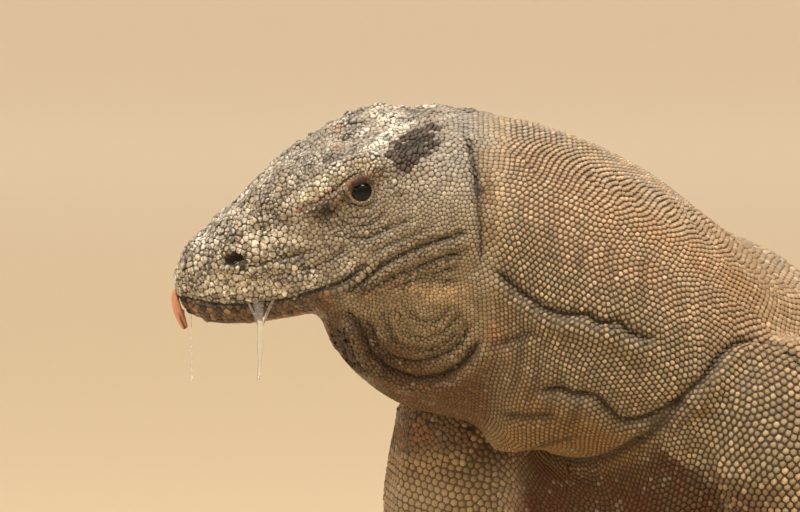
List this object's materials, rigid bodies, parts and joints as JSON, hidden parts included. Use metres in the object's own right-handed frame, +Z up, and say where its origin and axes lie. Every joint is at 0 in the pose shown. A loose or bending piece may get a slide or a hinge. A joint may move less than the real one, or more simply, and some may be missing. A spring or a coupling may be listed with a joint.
{
  "type": "komodo dragon",
  "caption": "Life-size komodo dragon standing on splayed legs, head raised and turned to its right, mouth closed with the tongue tip and drool showing, long tail laid on the floor behind.",
  "frame": {"origin": "On the floor, under the middle of the model's bounding box.", "axes": "+X runs from the head end to the tail tip, -Y is the animal's left side, +Z is up."},
  "size_m": [2.3168, 0.6856, 0.5286],
  "materials": {
    "hide": "matt scaled hide, grey-brown with rust patches",
    "head_hide": "matt scaled hide, grey with pale speckles",
    "throat_hide": "matt scaled hide, ochre-brown",
    "eye": "wet gloss",
    "claw": "satin horn",
    "tongue": "moist",
    "saliva": "clear, wet"
  },
  "bodies": {
    "root": {"head": "head_hide", "lower_jaw": "throat_hide", "left_eye": "eye", "right_eye": "eye", "tongue": "tongue", "saliva_1": "saliva", "saliva_2": "saliva", "neck": "hide", "chest": "hide", "belly": "hide", "tail_1": "hide", "tail_2": "hide", "tail_3": "hide", "tail_4": "hide", "left_front_upper": "hide", "left_front_lower": "hide", "left_front_foot": "hide", "left_hind_upper": "hide", "left_hind_lower": "hide", "left_hind_foot": "hide", "right_front_upper": "hide", "right_front_lower": "hide", "right_front_foot": "hide", "right_hind_upper": "hide", "right_hind_lower": "hide", "right_hind_foot": "hide", "left_front_claw_1": "claw", "left_front_claw_2": "claw", "left_front_claw_3": "claw", "left_front_claw_4": "claw", "left_front_claw_5": "claw", "left_hind_claw_1": "claw", "left_hind_claw_2": "claw", "left_hind_claw_3": "claw", "left_hind_claw_4": "claw", "left_hind_claw_5": "claw", "right_front_claw_1": "claw", "right_front_claw_2": "claw", "right_front_claw_3": "claw", "right_front_claw_4": "claw", "right_front_claw_5": "claw", "right_hind_claw_1": "claw", "right_hind_claw_2": "claw", "right_hind_claw_3": "claw", "right_hind_claw_4": "claw", "right_hind_claw_5": "claw"}
  },
  "joints": []
}
